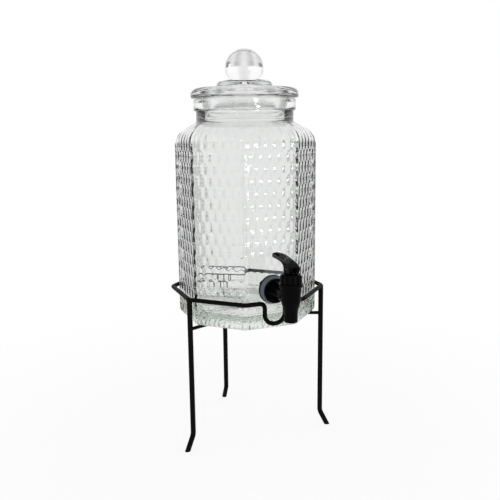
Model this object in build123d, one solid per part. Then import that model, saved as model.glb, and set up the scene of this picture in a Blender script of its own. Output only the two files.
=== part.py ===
from build123d import *
import math
import os

# Glass beverage dispenser: an eight-sided jar with a lid and a lever tap, on a wire stand.
# Everything is drawn round the jar's own upright axis with the tap towards -Y,
# and moved at the end so that the origin is the middle of the footprint on the floor.

# Shared values
CUT_OVERRUN = 30.0
SIDES = 8
SIDE_TURN = 360 / SIDES
REST_GAP = 0.3
RUNNING_GAP = 0.08

# Jar
JAR_BASE = 147.8
JAR_FLAT = 76.5
JAR_CORNER = 6.5
GLASS_WALL = 4.5
JAR_FLOOR = 9.0
HEEL_ROUND = 6.0
INNER_HEEL_ROUND = 1.6
PUNT_R = 54.0
PUNT_DEEP = 1.2
WALL_TALL = 203.5
SHOULDER_TALL = 24.0
SHOULDER_POWER = 2.3
SHOULDER_STEP_SHARES = (0, 0.25, 0.5, 0.7, 0.86, 1)
NECK_ROUND_SHARE = 0.97
MOUTH_R = 50.0
NECK_WALL = 6.4
NECK_TALL = 13.0
BEAD_STEP = 2.4
BEAD_TALL = 12.5
BEAD_ROUND = 1.2

# Stand
RING_CLEARANCE = 4.5
RING_WIRE = 5.0
RING_BELOW_TAP = 13.5
RING_BEND = 8.0
DIP_HALF_WIDTH = 12.0
DIP_DEEP = 24.0
DIP_TOP_BEND = 6.0
DIP_FLOOR_BEND = 11.0
LEG_WIRE = 6.0
FRONT_LEG_TURN = 1.5 * SIDE_TURN
REAR_LEG_TURN = 180
FOOT_TALL = 18.0
FOOT_FLARE = 9.0
FOOT_BEND = 14.0
CROSS_WIRE = 4.0
CROSS_BEND = 8.0

# Lid and its seal
LID_OVERHANG = 3.4
LID_RIM_TALL = 10.8
LID_RIM_ROUND = 7.4
LID_UNDER_ROUND = 2.6
LID_TOP_RISE = 1.0
PEDESTAL_R = 33.0
PEDESTAL_TALL = 7.3
PEDESTAL_SLOPE = 2.0
PEDESTAL_FOOT_ROUND = 1.2
PEDESTAL_TOP_ROUND = 6.0
LID_DOME_TALL = 10.4
LID_PLATE = 6.0
PLUG_WALL = 4.0
PLUG_DEEP = 13.0
PLUG_ROUND = 1.2
KNOB_R = 22.0
KNOB_UNDER_ROUND = 15.0
KNOB_RISE = 12.0
SEAL_FLANGE = 1.4
SEAL_FLANGE_WIDE = 6.5
SEAL_SLEEVE = 1.2
SEAL_LIP = 1.0
SEAL_LIP_TALL = 1.6
SEAL_LIP_SHARES = (0.25, 0.65)

# Tap mounting
TAP_RISE = 45.7
TAIL_R = 8.0
TAIL_END = 3.0
HOLE_GAP = 0.4
WASHER_R = 16.2
WASHER_THICK = 2.5
GASKET_R = 16.0
GASKET_FRONT_R = 14.2
GASKET_THICK = 6.0
GASKET_ROUND = 0.6
INNER_WASHER_R = 12.5
NUT_HALF_WIDE = 10.4
NUT_THICK = 6.5
NUT_ROUND = 1.5

# Tap moulding
FLANGE_R = 13.8
FLANGE_THICK = 2.5
FLANGE_ROUND = 0.8
TUBE_R = 6.5
INLET_BORE_R = 4.0
RIB_COUNT = 4
RIB_THICK = 2.4
RIB_REACH = 18.0
BARREL_OUT = 48.0
BARREL_DROP = 24.2
NOZZLE_R = 7.2
NOZZLE_LAND = 7.0
NOZZLE_ROUND = 0.8
BARREL_R = 10.4
BARREL_SWELL_TOP = 2.0
COLLAR_R = 10.9
COLLAR_RISE = 7.3
LIP_R = 11.3
LIP_TALL = 3.4
LIP_ROUND = 0.8
BARREL_RISE = 17.0
OUTLET_R = 5.0
CHAMBER_R = 8.0
SEAT_RISE = 5.0
SEAT_DROP = 9.5

# Bonnet
BONNET_R = 10.1
BONNET_TALL = 10.0
BONNET_ROUND = 1.0
BONNET_PLUG_TALL = 6.0
BONNET_ROOF = 5.0
FLUTE_COUNT = 14
FLUTE_R = 1.1
FLUTE_DEEP = 0.5
SPRING_BORE_R = 5.6

# Valve
STEM_R = 2.5
STEM_SINK = 4.0
EYE_R = 3.0
EYE_THICK = 5.0
SEAL_TOP_DROP = 1.5
O_RING_WIRE = 1.6
SPRING_WIRE = 0.9
SPRING_R = 4.2
SPRING_TURNS = 7

# Lever
PIN_R = 1.25
PIN_INSET = 0.4
CHEEK_GAP = 0.3
LEVER_BLOCK_WIDE = 12.4
LEVER_PAD_WIDE = 15.0
LEVER_HEEL = 4.6
LEVER_BACK = 4.8
LEVER_REACH = 38.0
LEVER_TIP_ROUND = 10.0
LEVER_CROWN = 5.4
LEVER_TIP_RISE = 11.0
LEVER_THICK = 3.0
LEVER_SLOT_FRONT = 2.8
VALVE_LIFT = 4.0
OPEN_TURN = 90
CAM_STEPS = 6
CROWN_FRONT_SHARE = 0.25
CROWN_BACK_SHARE = 0.33
CROWN_BACK_RISE_SHARE = 0.5
ARCH_REACH_SHARE = 0.37
ARCH_RISE_SHARE = 0.75
ARCH_FOOT_SHARE = 0.2
PAD_LONG = 19.0
PAD_WIDE = 9.0
PAD_DEEP = 0.7
PAD_PLACE_SHARE = 0.7
RIDGE_COUNT = 6
RIDGE_WIDE = 0.9
RIDGE_TALL = 0.45
RIDGE_SPAN_SHARE = 0.62

# Heights and places that follow from the sizes above
TAP_Z = JAR_BASE + TAP_RISE
RING_FLAT = JAR_FLAT + RING_CLEARANCE + RING_WIRE / 2
RING_Z = TAP_Z - RING_BELOW_TAP
CROSS_Z = JAR_BASE - REST_GAP - CROSS_WIRE / 2
NECK_R = MOUTH_R + NECK_WALL
BEAD_R = NECK_R + BEAD_STEP
LID_R = BEAD_R + LID_OVERHANG
WALL_TOP = JAR_BASE + WALL_TALL
NECK_BASE = WALL_TOP + SHOULDER_TALL
BEAD_BASE = NECK_BASE + NECK_TALL
JAR_TOP = BEAD_BASE + BEAD_TALL
LID_SEAT = JAR_TOP + SEAL_FLANGE
LID_RIM_TOP = LID_SEAT + LID_RIM_TALL
LID_DOME_TOP = LID_RIM_TOP + LID_DOME_TALL
PLUG_R = MOUTH_R - REST_GAP - SEAL_LIP - SEAL_SLEEVE
HALF_TURN_BULGE = 1 / math.cos(math.radians(SIDE_TURN / 2))
FRONT_LEG_R = RING_FLAT * HALF_TURN_BULGE - RING_BEND * (HALF_TURN_BULGE - 1)
BARREL_Y = -(JAR_FLAT + BARREL_OUT)
BARREL_TOP = TAP_Z + BARREL_RISE
BONNET_TOP = BARREL_TOP + BONNET_TALL
BONNET_ROOF_Z = BONNET_TOP - BONNET_ROOF
SEAT_Z = TAP_Z - SEAT_DROP
SEAL_TOP = TAP_Z - SEAL_TOP_DROP
PIN_Z = BONNET_TOP + REST_GAP + LEVER_HEEL
CAM_RATE = VALVE_LIFT / math.radians(OPEN_TURN)
LEVER_FRONT = LEVER_HEEL + VALVE_LIFT
FLANGE_BACK = WASHER_THICK + GASKET_THICK
FLANGE_FRONT = FLANGE_BACK + FLANGE_THICK

# The footprint's front edge is the barrel lip and its rear edge the rear foot
FOOT_TILT = math.atan2(FOOT_FLARE, FOOT_TALL)
REAR_REACH = RING_FLAT + FOOT_FLARE + LEG_WIRE / 2 / math.cos(FOOT_TILT)
FRONT_REACH = LIP_R - BARREL_Y
AXIS_Y = (FRONT_REACH - REAR_REACH) / 2

UP = (Align.CENTER, Align.CENTER, Align.MIN)
DOWN = (Align.CENTER, Align.CENTER, Align.MAX)

# Local frame on the tap hole, with its own Z pointing out of the glass
TAP_FACE = Plane(origin=(0, -JAR_FLAT, TAP_Z), x_dir=(1, 0, 0), z_dir=(0, -1, 0))
BARREL_AXIS = Pos(0, BARREL_Y, 0)


def around(radius, turn, height):
    """A point at a turn in degrees from the tap side, positive towards +X."""
    angle = math.radians(turn)
    return (radius * math.sin(angle), -radius * math.cos(angle), height)


def turned(points, rounds):
    """Revolve a closed outline of (radius, height) points with a rounding at each corner."""
    outline = FilletPolyline(*points, radius=rounds, close=True)
    return revolve(Plane.XZ * make_face(outline), Axis.Z)


def pipe(outer, inner, length):
    """A tube standing on its own origin."""
    bore = Pos(0, 0, -CUT_OVERRUN) * Cylinder(inner, length + 2 * CUT_OVERRUN, align=UP)
    return Cylinder(outer, length, align=UP) - bore


def wire_along(path, thickness):
    """Round wire swept along a path."""
    start = Plane(origin=path @ 0, z_dir=path % 0)
    return sweep(start * Circle(thickness / 2), path)


# Stand

def ring_path():
    """Octagon with rounded corners that drops into a U on the tap side."""
    corner = RING_FLAT * HALF_TURN_BULGE
    right = [around(corner, turn * SIDE_TURN, RING_Z) for turn in (3.5, 2.5, 1.5, 0.5)]
    dip = [(DIP_HALF_WIDTH, -RING_FLAT, RING_Z), (DIP_HALF_WIDTH, -RING_FLAT, RING_Z - DIP_DEEP)]
    half = right + dip
    mirrored = [(-x, y, z) for x, y, z in reversed(half)]
    bends = [RING_BEND] * len(right) + [DIP_TOP_BEND, DIP_FLOOR_BEND]
    return FilletPolyline(*(half + mirrored), radius=bends + bends[::-1], close=True)


def stand_ring():
    return wire_along(ring_path(), RING_WIRE)


def stand_leg(radius, turn, ring):
    """Upright wire under the ring, kicked out at the foot and cut flat on the floor."""
    below_floor = CUT_OVERRUN / FOOT_TALL
    path = FilletPolyline(
        around(radius, turn, RING_Z),
        around(radius, turn, FOOT_TALL),
        around(radius + FOOT_FLARE * (1 + below_floor), turn, -CUT_OVERRUN),
        radius=FOOT_BEND,
    )
    ground = Box(4 * RING_FLAT, 4 * RING_FLAT, 2 * CUT_OVERRUN, align=DOWN)
    return wire_along(path, LEG_WIRE) - ring - ground


def stand_cross_wire(left_leg, right_leg):
    """Support wire from one front leg to the other, bent at the jar's axis."""
    path = FilletPolyline(
        around(FRONT_LEG_R, -FRONT_LEG_TURN, CROSS_Z),
        (0, 0, CROSS_Z),
        around(FRONT_LEG_R, FRONT_LEG_TURN, CROSS_Z),
        radius=CROSS_BEND,
    )
    return wire_along(path, CROSS_WIRE) - left_leg - right_leg


def stand_rear_wire(cross_wire, rear_leg):
    """Support wire from the bend of the cross wire to the rear leg."""
    half_bend = math.radians(90 - FRONT_LEG_TURN)
    bend_inset = CROSS_BEND * (1 / math.cos(half_bend) - 1)
    path = Line((0, -bend_inset, CROSS_Z), around(RING_FLAT, REAR_LEG_TURN, CROSS_Z))
    return wire_along(path, CROSS_WIRE) - cross_wire - rear_leg


# Jar

def octagon(flat, corner, height):
    """Eight-sided section with rounded corners and a side facing the tap."""
    sides = RegularPolygon(flat, SIDES, major_radius=False, rotation=SIDE_TURN / 2)
    return Pos(0, 0, height) * fillet(sides.vertices(), corner)


def shoulder(flat, corner, neck):
    """Eight sides that lean in along a power curve and fade into the round neck."""
    sections = [octagon(flat, corner, WALL_TOP - corner)]
    for share in SHOULDER_STEP_SHARES:
        section_flat = flat - (flat - neck) * share**SHOULDER_POWER
        rounding = corner + (section_flat * NECK_ROUND_SHARE - corner) * share**2
        sections.append(octagon(section_flat, rounding, WALL_TOP + SHOULDER_TALL * share))
    return loft(sections)


def jar_body(flat, corner, neck, base, heel):
    """Straight walls with a rounded heel, and the shoulder above them."""
    walls = extrude(octagon(flat, corner, base), WALL_TOP - base)
    walls = fillet(walls.edges().group_by(Axis.Z)[0], heel)
    return walls + shoulder(flat, corner, neck)


def glass_jar():
    outside = jar_body(JAR_FLAT, JAR_CORNER, NECK_R, JAR_BASE, HEEL_ROUND)
    outside += Pos(0, 0, NECK_BASE) * Cylinder(NECK_R, NECK_TALL, align=UP)
    bead = Cylinder(BEAD_R, BEAD_TALL, align=UP)
    outside += Pos(0, 0, BEAD_BASE) * fillet(bead.edges(), BEAD_ROUND)
    inside = jar_body(
        JAR_FLAT - GLASS_WALL,
        JAR_CORNER - GLASS_WALL,
        MOUTH_R,
        JAR_BASE + JAR_FLOOR,
        INNER_HEEL_ROUND,
    )
    inside += Pos(0, 0, NECK_BASE) * Cylinder(MOUTH_R, NECK_TALL + BEAD_TALL + CUT_OVERRUN, align=UP)
    hole = TAP_FACE * Cylinder(TAIL_R + HOLE_GAP, 2 * CUT_OVERRUN)
    punt = Pos(0, 0, JAR_BASE - CUT_OVERRUN) * Cylinder(PUNT_R, PUNT_DEEP + CUT_OVERRUN, align=UP)
    return outside - inside - hole - punt


# Lid

def knob_half():
    """Half outline of the solid ball, which is flatter below its widest place than above it."""
    middle = LID_DOME_TOP + KNOB_RISE
    over = CenterArc((0, middle), KNOB_R, 0, 90)
    under = CenterArc((KNOB_R - KNOB_UNDER_ROUND, middle), KNOB_UNDER_ROUND, -90, 90)
    core = Polyline(over @ 1, (0, middle - KNOB_UNDER_ROUND), under @ 0)
    return make_face([under, over, core])


def glass_lid():
    """Thick rim and stepped dome with a hollow plug below and a solid knob on top."""
    plug_in = PLUG_R - PLUG_WALL
    step_foot = LID_RIM_TOP + LID_TOP_RISE
    outline = [
        (0, LID_DOME_TOP - LID_PLATE),
        (plug_in, LID_RIM_TOP - LID_PLATE),
        (plug_in, LID_SEAT - PLUG_DEEP),
        (PLUG_R, LID_SEAT - PLUG_DEEP),
        (PLUG_R, LID_SEAT),
        (LID_R, LID_SEAT),
        (LID_R, LID_RIM_TOP),
        (PEDESTAL_R, step_foot),
        (PEDESTAL_R - PEDESTAL_SLOPE, step_foot + PEDESTAL_TALL),
        (0, LID_DOME_TOP),
    ]
    rim_rounds = [LID_UNDER_ROUND, LID_RIM_ROUND]
    pedestal_rounds = [PEDESTAL_FOOT_ROUND, PEDESTAL_TOP_ROUND]
    rounds = [0] + [PLUG_ROUND] * 3 + [0] + rim_rounds + pedestal_rounds + [0]
    lid_half = make_face(FilletPolyline(*outline, radius=rounds, close=True))
    return revolve(Plane.XZ * (lid_half + knob_half()), Axis.Z)


def lid_seal_ring():
    """Sleeve round the plug with two lips, under a flange that the rim rests on."""
    sleeve_base = LID_SEAT - PLUG_DEEP + PLUG_ROUND
    sleeve_tall = LID_SEAT - sleeve_base
    sleeve_r = PLUG_R + SEAL_SLEEVE
    ring = Pos(0, 0, sleeve_base) * pipe(sleeve_r, PLUG_R, sleeve_tall)
    ring += Pos(0, 0, JAR_TOP) * pipe(PLUG_R + SEAL_FLANGE_WIDE, PLUG_R, SEAL_FLANGE)
    for share in SEAL_LIP_SHARES:
        lip = pipe(sleeve_r + SEAL_LIP, PLUG_R, SEAL_LIP_TALL)
        ring += Pos(0, 0, sleeve_base + share * sleeve_tall) * lip
    return ring


# Tap mounting

def tap_outer_washer():
    return TAP_FACE * pipe(WASHER_R, TAIL_R, WASHER_THICK)


def tap_gasket():
    """Tapered soft ring between the washer and the flange."""
    outline = [
        (TAIL_R, WASHER_THICK),
        (GASKET_R, WASHER_THICK),
        (GASKET_FRONT_R, FLANGE_BACK),
        (TAIL_R, FLANGE_BACK),
    ]
    return TAP_FACE * turned(outline, [0, GASKET_ROUND, GASKET_ROUND, 0])


def tap_inner_washer():
    return TAP_FACE * Pos(0, 0, -GLASS_WALL - WASHER_THICK) * pipe(INNER_WASHER_R, TAIL_R, WASHER_THICK)


def tap_lock_nut():
    """Hexagon nut with its corners taken off by a turned outline."""
    hexagon = extrude(RegularPolygon(NUT_HALF_WIDE, 6, major_radius=False, rotation=30), NUT_THICK)
    corner_r = NUT_HALF_WIDE / math.cos(math.radians(30))
    blank = Cylinder(corner_r, NUT_THICK, align=UP)
    nut = hexagon & fillet(blank.edges(), NUT_ROUND)
    nut -= Cylinder(TAIL_R, 2 * NUT_THICK + CUT_OVERRUN)
    return TAP_FACE * Pos(0, 0, -GLASS_WALL - WASHER_THICK - NUT_THICK) * nut


# Tap moulding

def tap_inlet():
    """Tail, flange, tube and ribs, drawn along the inlet axis."""
    tail_back = GLASS_WALL + WASHER_THICK + NUT_THICK + TAIL_END
    tube_end = BARREL_OUT - CHAMBER_R / 2
    outline = [
        (0, -tail_back),
        (TAIL_R, -tail_back),
        (TAIL_R, FLANGE_BACK),
        (FLANGE_R, FLANGE_BACK),
        (FLANGE_R, FLANGE_FRONT),
        (TUBE_R, FLANGE_FRONT),
        (TUBE_R, tube_end),
        (0, tube_end),
    ]
    solid = turned(outline, [0, FLANGE_ROUND, 0, FLANGE_ROUND, FLANGE_ROUND, FLANGE_ROUND, 0, 0])
    rib_foot_r = FLANGE_R - 2 * FLANGE_ROUND
    rib_outline = Polyline(
        (0, FLANGE_FRONT),
        (rib_foot_r, FLANGE_FRONT),
        (TUBE_R, FLANGE_FRONT + RIB_REACH),
        (0, FLANGE_FRONT + RIB_REACH),
        close=True,
    )
    rib = extrude(Plane.XZ * make_face(rib_outline), RIB_THICK / 2, both=True)
    for count in range(RIB_COUNT):
        solid += Rot(0, 0, count * 360 / RIB_COUNT) * rib
    return TAP_FACE * solid


def barrel_outside():
    """Nozzle that swells into the barrel, with a collar and a lip on top."""
    nozzle_top = TAP_Z - BARREL_DROP + NOZZLE_LAND
    swell_top = TAP_Z + BARREL_SWELL_TOP
    swell_middle = (nozzle_top + swell_top) / 2
    collar_base = TAP_Z + COLLAR_RISE
    lip_base = BARREL_TOP - LIP_TALL
    swell = Bezier(
        (NOZZLE_R, nozzle_top),
        (NOZZLE_R, swell_middle),
        (BARREL_R, swell_middle),
        (BARREL_R, swell_top),
    )
    upper = Polyline(
        (BARREL_R, swell_top),
        (BARREL_R, collar_base),
        (COLLAR_R, collar_base),
        (COLLAR_R, lip_base),
        (LIP_R, lip_base),
        (LIP_R, BARREL_TOP),
        (0, BARREL_TOP),
        (0, TAP_Z - BARREL_DROP),
        (NOZZLE_R, TAP_Z - BARREL_DROP),
        (NOZZLE_R, nozzle_top),
    )
    solid = revolve(Plane.XZ * make_face([swell, upper]), Axis.Z)
    ends = solid.edges().filter_by(GeomType.CIRCLE).group_by(Axis.Z)
    solid = fillet(ends[0], NOZZLE_ROUND)
    top_edges = solid.edges().filter_by(GeomType.CIRCLE).group_by(Axis.Z)[-1]
    return BARREL_AXIS * fillet(top_edges, LIP_ROUND)


def barrel_bore():
    """Valve chamber above, outlet below and the conical seat between them."""
    chamber_base = SEAT_Z + SEAT_RISE
    outline = Polyline(
        (0, BARREL_TOP + CUT_OVERRUN),
        (CHAMBER_R, BARREL_TOP + CUT_OVERRUN),
        (CHAMBER_R, chamber_base),
        (OUTLET_R, SEAT_Z),
        (OUTLET_R, TAP_Z - BARREL_DROP - CUT_OVERRUN),
        (0, TAP_Z - BARREL_DROP - CUT_OVERRUN),
        close=True,
    )
    return BARREL_AXIS * revolve(Plane.XZ * make_face(outline), Axis.Z)


def tap_body():
    tail_back = GLASS_WALL + WASHER_THICK + NUT_THICK + TAIL_END
    inlet_bore = TAP_FACE * Pos(0, 0, -tail_back - CUT_OVERRUN)
    inlet_bore *= Cylinder(INLET_BORE_R, tail_back + CUT_OVERRUN + BARREL_OUT, align=UP)
    return tap_inlet() + barrel_outside() - barrel_bore() - inlet_bore


# Bonnet, stem and valve

def o_ring_height():
    return BONNET_ROOF_Z + BONNET_ROOF / 2


def tap_bonnet():
    """Fluted cap with a plug in the barrel, a spring bore below and a guide for the stem."""
    cap = Pos(0, 0, BARREL_TOP) * Cylinder(BONNET_R, BONNET_TALL, align=UP)
    cap = fillet(cap.edges().group_by(Axis.Z)[-1], BONNET_ROUND)
    flute = Pos(BONNET_R + FLUTE_R - FLUTE_DEEP, 0, BARREL_TOP)
    flute *= Cylinder(FLUTE_R, 2 * (BONNET_TALL - 2 * BONNET_ROUND))
    for count in range(FLUTE_COUNT):
        cap -= Rot(0, 0, count * 360 / FLUTE_COUNT) * flute
    cap += Pos(0, 0, BARREL_TOP) * Cylinder(CHAMBER_R, BONNET_PLUG_TALL, align=DOWN)
    cap -= Pos(0, 0, BONNET_ROOF_Z) * Cylinder(SPRING_BORE_R, BONNET_TALL + CUT_OVERRUN, align=DOWN)
    cap -= Pos(0, 0, BONNET_TOP) * Cylinder(STEM_R + RUNNING_GAP, 2 * BONNET_TALL)
    groove_r = STEM_R + RUNNING_GAP + O_RING_WIRE
    cap -= Pos(0, 0, o_ring_height()) * Cylinder(groove_r, O_RING_WIRE)
    return BARREL_AXIS * cap


def stem_o_ring():
    ring_r = STEM_R + RUNNING_GAP + O_RING_WIRE / 2
    return BARREL_AXIS * Pos(0, 0, o_ring_height()) * Torus(ring_r, O_RING_WIRE / 2)


def valve_stem():
    """Rod from the bung to a flat eye that takes the lever's pin."""
    foot = SEAL_TOP - STEM_SINK
    rod = Pos(0, 0, foot) * Cylinder(STEM_R, PIN_Z - foot, align=UP)
    along_x = Rot(0, 90, 0)
    eye = Pos(0, 0, PIN_Z) * along_x * Cylinder(EYE_R, EYE_THICK)
    hole = Pos(0, 0, PIN_Z) * along_x * Cylinder(PIN_R + RUNNING_GAP, EYE_THICK + CUT_OVERRUN)
    return BARREL_AXIS * (rod + eye - hole)


def valve_seal():
    """Bung whose cone follows the seat at the rest gap, with a blind bore for the stem."""
    slope = (CHAMBER_R - OUTLET_R) / SEAT_RISE
    seat_lift = REST_GAP * math.sqrt(1 + slope**2) / slope
    wide_r = CHAMBER_R - REST_GAP
    cone_base = SEAT_Z + seat_lift
    cone_top = cone_base + (wide_r - OUTLET_R) / slope
    outline = Polyline(
        (0, cone_base),
        (OUTLET_R, cone_base),
        (wide_r, cone_top),
        (wide_r, SEAL_TOP),
        (0, SEAL_TOP),
        close=True,
    )
    bung = revolve(Plane.XZ * make_face(outline), Axis.Z)
    return BARREL_AXIS * (bung - Pos(0, 0, SEAL_TOP) * Cylinder(STEM_R, 2 * STEM_SINK))


def return_spring():
    """Coil between the bung and the bonnet's roof."""
    room = BONNET_ROOF_Z - SEAL_TOP
    height = room - SPRING_WIRE - 2 * REST_GAP
    start_z = SEAL_TOP + SPRING_WIRE / 2 + REST_GAP
    path = Helix(height / SPRING_TURNS, height, SPRING_R, center=(0, 0, start_z))
    start = Plane(origin=path @ 0, z_dir=path % 0)
    return BARREL_AXIS * sweep(start * Circle(SPRING_WIRE / 2), path, is_frenet=True)


# Lever

def cam_point(turn):
    """Point of the heel that bears on the bonnet when the lever has turned this far.

    The distance from the pin to the bonnet grows evenly with the turn."""
    distance = LEVER_HEEL + CAM_RATE * turn
    across = -distance * math.sin(turn) - CAM_RATE * math.cos(turn)
    along = -distance * math.cos(turn) + CAM_RATE * math.sin(turn)
    return (across, along)


def lever_crown():
    """Upper edge of the side view, from the end of the cam to the thumb tip."""
    back_rise = LEVER_CROWN + CROWN_BACK_RISE_SHARE * (LEVER_TIP_RISE - LEVER_CROWN)
    return Spline(
        cam_point(math.radians(OPEN_TURN)),
        (-CROWN_FRONT_SHARE * LEVER_FRONT, LEVER_CROWN),
        (CROWN_BACK_SHARE * LEVER_REACH, back_rise),
        (LEVER_REACH, LEVER_TIP_RISE),
    )


def lever_side():
    """Side view round the pin: heel, cam, crown and the arched arm that reaches back to the jar."""
    turns = [math.radians(OPEN_TURN) * step / CAM_STEPS for step in range(CAM_STEPS + 1)]
    cam = Spline(*[cam_point(turn) for turn in turns])
    crown = lever_crown()
    under_tip = LEVER_TIP_RISE - LEVER_THICK
    arch = Bezier(
        (LEVER_REACH, under_tip),
        (ARCH_REACH_SHARE * LEVER_REACH, under_tip),
        (LEVER_BACK, ARCH_RISE_SHARE * under_tip),
        (LEVER_BACK, -ARCH_FOOT_SHARE * LEVER_HEEL),
    )
    heel = Polyline(arch @ 1, (LEVER_BACK, -LEVER_HEEL), cam @ 0)
    return make_face([cam, crown, Line(crown @ 1, arch @ 0), arch, heel])


def lever_plan():
    """Plan view: a narrow block that widens into a round thumb tip."""
    block = LEVER_BLOCK_WIDE / 2
    pad = LEVER_PAD_WIDE / 2
    pad_end = LEVER_REACH - LEVER_TIP_ROUND
    middle = (LEVER_BACK + pad_end) / 2
    front = -LEVER_FRONT - CUT_OVERRUN
    tip = EllipticalCenterArc((0, pad_end), pad, LEVER_TIP_ROUND, 0, arc_size=180)
    right = Bezier((block, LEVER_BACK), (block, middle), (pad, middle), (pad, pad_end))
    left = Bezier((-pad, pad_end), (-pad, middle), (-block, middle), (-block, LEVER_BACK))
    sides = Polyline(left @ 1, (-block, front), (block, front), right @ 0)
    return make_face([right, tip, left, sides])


def thumb_pad():
    """Oval recess for the thumb, square to the crown, and the ridges left standing in it."""
    crown = lever_crown()
    spot = crown @ PAD_PLACE_SHARE
    lean = crown % PAD_PLACE_SHARE
    tilt = math.degrees(math.atan2(lean.Y, lean.X))
    seat = Pos(0, spot.X, spot.Y) * Rot(tilt, 0, 0) * Pos(0, 0, -PAD_DEEP)
    recess = seat * extrude(Ellipse(PAD_WIDE / 2, PAD_LONG / 2), CUT_OVERRUN)
    span = RIDGE_SPAN_SHARE * PAD_LONG
    ridges = []
    for count in range(RIDGE_COUNT):
        along = span * (count / (RIDGE_COUNT - 1) - 1 / 2)
        bar_long = PAD_WIDE * math.sqrt(1 - (2 * along / PAD_LONG) ** 2)
        bar = Box(bar_long, RIDGE_WIDE, RIDGE_TALL + PAD_DEEP, align=UP)
        ridges.append(seat * Pos(0, along, -PAD_DEEP) * bar)
    return recess, ridges


def tap_lever():
    side = Plane(origin=(0, 0, 0), x_dir=(0, 1, 0), z_dir=(1, 0, 0)) * lever_side()
    lever = extrude(side, LEVER_PAD_WIDE, both=True)
    lever &= Pos(0, 0, -CUT_OVERRUN) * extrude(lever_plan(), 2 * CUT_OVERRUN)
    along_x = Rot(0, 90, 0)
    slot_wide = EYE_THICK + 2 * CHEEK_GAP
    lever -= along_x * Cylinder(EYE_R + CHEEK_GAP, slot_wide)
    slot = Box(slot_wide, CUT_OVERRUN, CUT_OVERRUN, align=(Align.CENTER, Align.MAX, Align.MAX))
    lever -= Pos(0, STEM_R + CHEEK_GAP, 0) * slot
    lever -= Pos(0, 0, LEVER_SLOT_FRONT) * slot
    lever -= along_x * Cylinder(PIN_R, 2 * LEVER_BLOCK_WIDE)
    recess, ridges = thumb_pad()
    lever -= recess
    for ridge in ridges:
        lever += ridge
    return BARREL_AXIS * Pos(0, 0, PIN_Z) * lever


def lever_pin():
    pin = Rot(0, 90, 0) * Cylinder(PIN_R, LEVER_BLOCK_WIDE - 2 * PIN_INSET)
    return BARREL_AXIS * Pos(0, 0, PIN_Z) * pin


def build_pieces():
    """Every piece by its node name."""
    ring = stand_ring()
    left_leg = stand_leg(FRONT_LEG_R, -FRONT_LEG_TURN, ring)
    right_leg = stand_leg(FRONT_LEG_R, FRONT_LEG_TURN, ring)
    rear_leg = stand_leg(RING_FLAT, REAR_LEG_TURN, ring)
    cross_wire = stand_cross_wire(left_leg, right_leg)
    return {
        "stand_ring": ring,
        "stand_leg_left": left_leg,
        "stand_leg_right": right_leg,
        "stand_leg_rear": rear_leg,
        "stand_cross_wire": cross_wire,
        "stand_rear_wire": stand_rear_wire(cross_wire, rear_leg),
        "glass_jar": glass_jar(),
        "glass_lid": glass_lid(),
        "lid_seal_ring": lid_seal_ring(),
        "tap_outer_washer": tap_outer_washer(),
        "tap_gasket": tap_gasket(),
        "tap_inner_washer": tap_inner_washer(),
        "tap_lock_nut": tap_lock_nut(),
        "tap_body": tap_body(),
        "tap_bonnet": tap_bonnet(),
        "stem_o_ring": stem_o_ring(),
        "valve_stem": valve_stem(),
        "valve_seal": valve_seal(),
        "return_spring": return_spring(),
        "tap_lever": tap_lever(),
        "lever_pin": lever_pin(),
    }


os.makedirs("parts", exist_ok=True)
for name, piece in build_pieces().items():
    export_step(Pos(0, AXIS_Y, 0) * piece, f"parts/{name}.step")
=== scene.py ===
import math

import bmesh
import bpy
from mathutils import Matrix, Vector


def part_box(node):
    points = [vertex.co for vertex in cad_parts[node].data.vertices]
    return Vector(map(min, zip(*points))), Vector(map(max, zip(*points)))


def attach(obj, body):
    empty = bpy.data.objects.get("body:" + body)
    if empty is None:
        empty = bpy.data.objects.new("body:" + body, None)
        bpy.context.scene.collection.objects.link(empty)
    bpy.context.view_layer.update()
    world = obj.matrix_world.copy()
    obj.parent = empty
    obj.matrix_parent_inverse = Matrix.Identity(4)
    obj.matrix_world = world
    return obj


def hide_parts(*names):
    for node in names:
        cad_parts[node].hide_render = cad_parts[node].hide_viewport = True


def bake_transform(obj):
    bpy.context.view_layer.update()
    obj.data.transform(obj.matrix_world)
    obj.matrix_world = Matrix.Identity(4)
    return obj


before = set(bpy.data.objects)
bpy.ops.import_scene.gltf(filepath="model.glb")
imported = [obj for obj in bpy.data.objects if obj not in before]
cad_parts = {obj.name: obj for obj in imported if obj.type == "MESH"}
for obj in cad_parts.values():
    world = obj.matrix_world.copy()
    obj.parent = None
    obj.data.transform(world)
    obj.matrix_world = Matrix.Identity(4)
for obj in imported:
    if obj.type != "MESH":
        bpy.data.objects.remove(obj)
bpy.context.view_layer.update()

# Glass beverage dispenser: looks for the jar, its lid, the lever tap and the wire stand.
# All sizes are metres in the part's own frame, with the tap towards -Y.

# Jar sizes that the frame gives
JAR_LOW, JAR_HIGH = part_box("glass_jar")
AXIS_Y = (JAR_LOW.y + JAR_HIGH.y) / 2
JAR_FLAT = (JAR_HIGH.x - JAR_LOW.x) / 2
JAR_BASE = JAR_LOW.z
JAR_TOP = JAR_HIGH.z
TAP_Z = sum(corner.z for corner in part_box("tap_outer_washer")) / 2

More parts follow.
